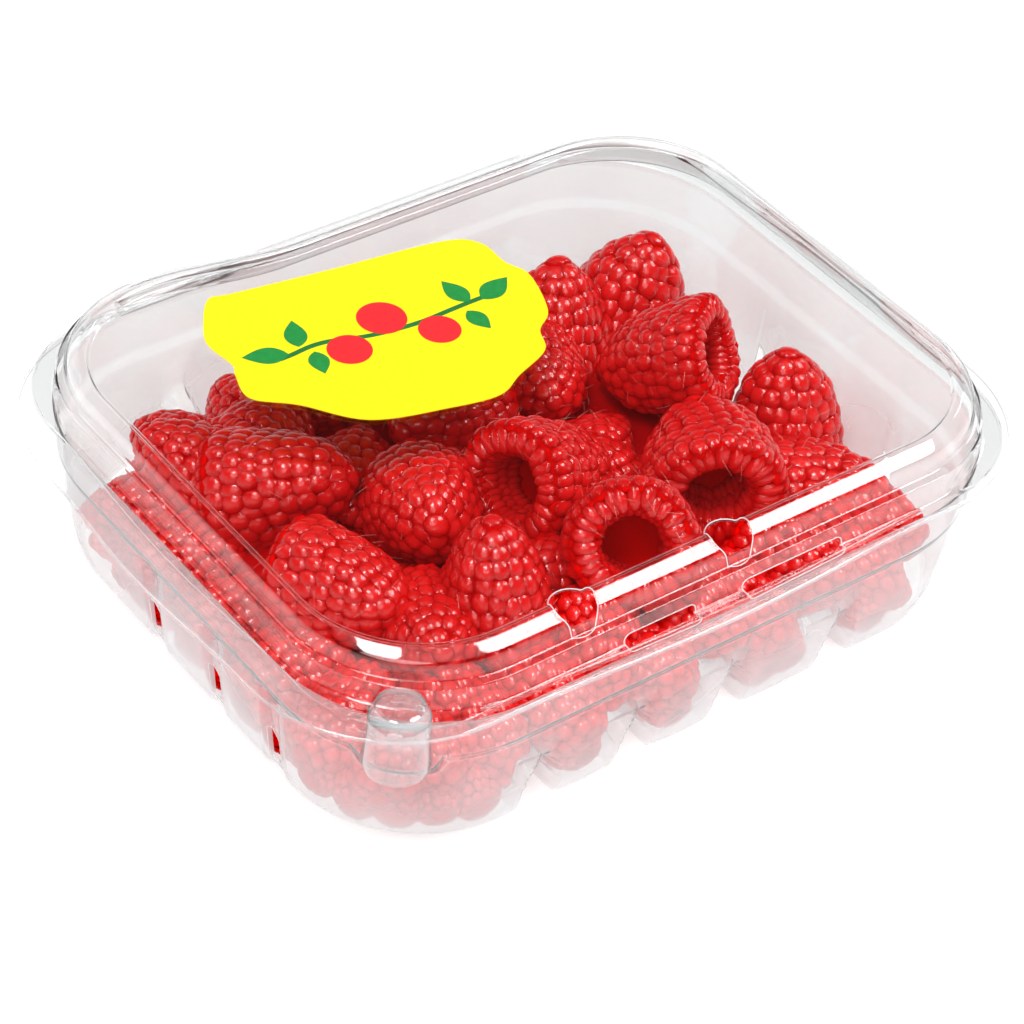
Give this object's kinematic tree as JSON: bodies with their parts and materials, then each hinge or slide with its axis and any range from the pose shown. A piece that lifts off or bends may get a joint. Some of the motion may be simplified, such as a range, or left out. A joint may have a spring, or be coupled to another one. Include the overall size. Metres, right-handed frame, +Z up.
{
  "type": "clamshell punnet of raspberries",
  "caption": "Clear hinged clamshell punnet filled with raspberries, with a scalloped label on its vented lid.",
  "frame": {"origin": "middle of the punnet's box, on the surface that its feet stand on", "axes": "+X along the long sides, -Y towards the side with the corner snap, +Y towards the hinge, +Z up"},
  "size_m": [0.1606, 0.124, 0.0433],
  "materials": {
    "clear_sheet": "clear thermoformed PET, glossy",
    "label": "printed, satin",
    "raspberry": "soft red fruit skin, moist sheen"
  },
  "bodies": {
    "base": {"tray": "clear_sheet", "raspberries": "raspberry"},
    "cover": {"lid": "clear_sheet", "label": "label"}
  },
  "joints": [
    {"name": "lid_hinge", "type": "hinge", "parent": "base", "child": "cover", "pos_m": [0, 0.06157, 0.033], "axis": [-1, 0, 0], "range_deg": [0, 170]}
  ]
}
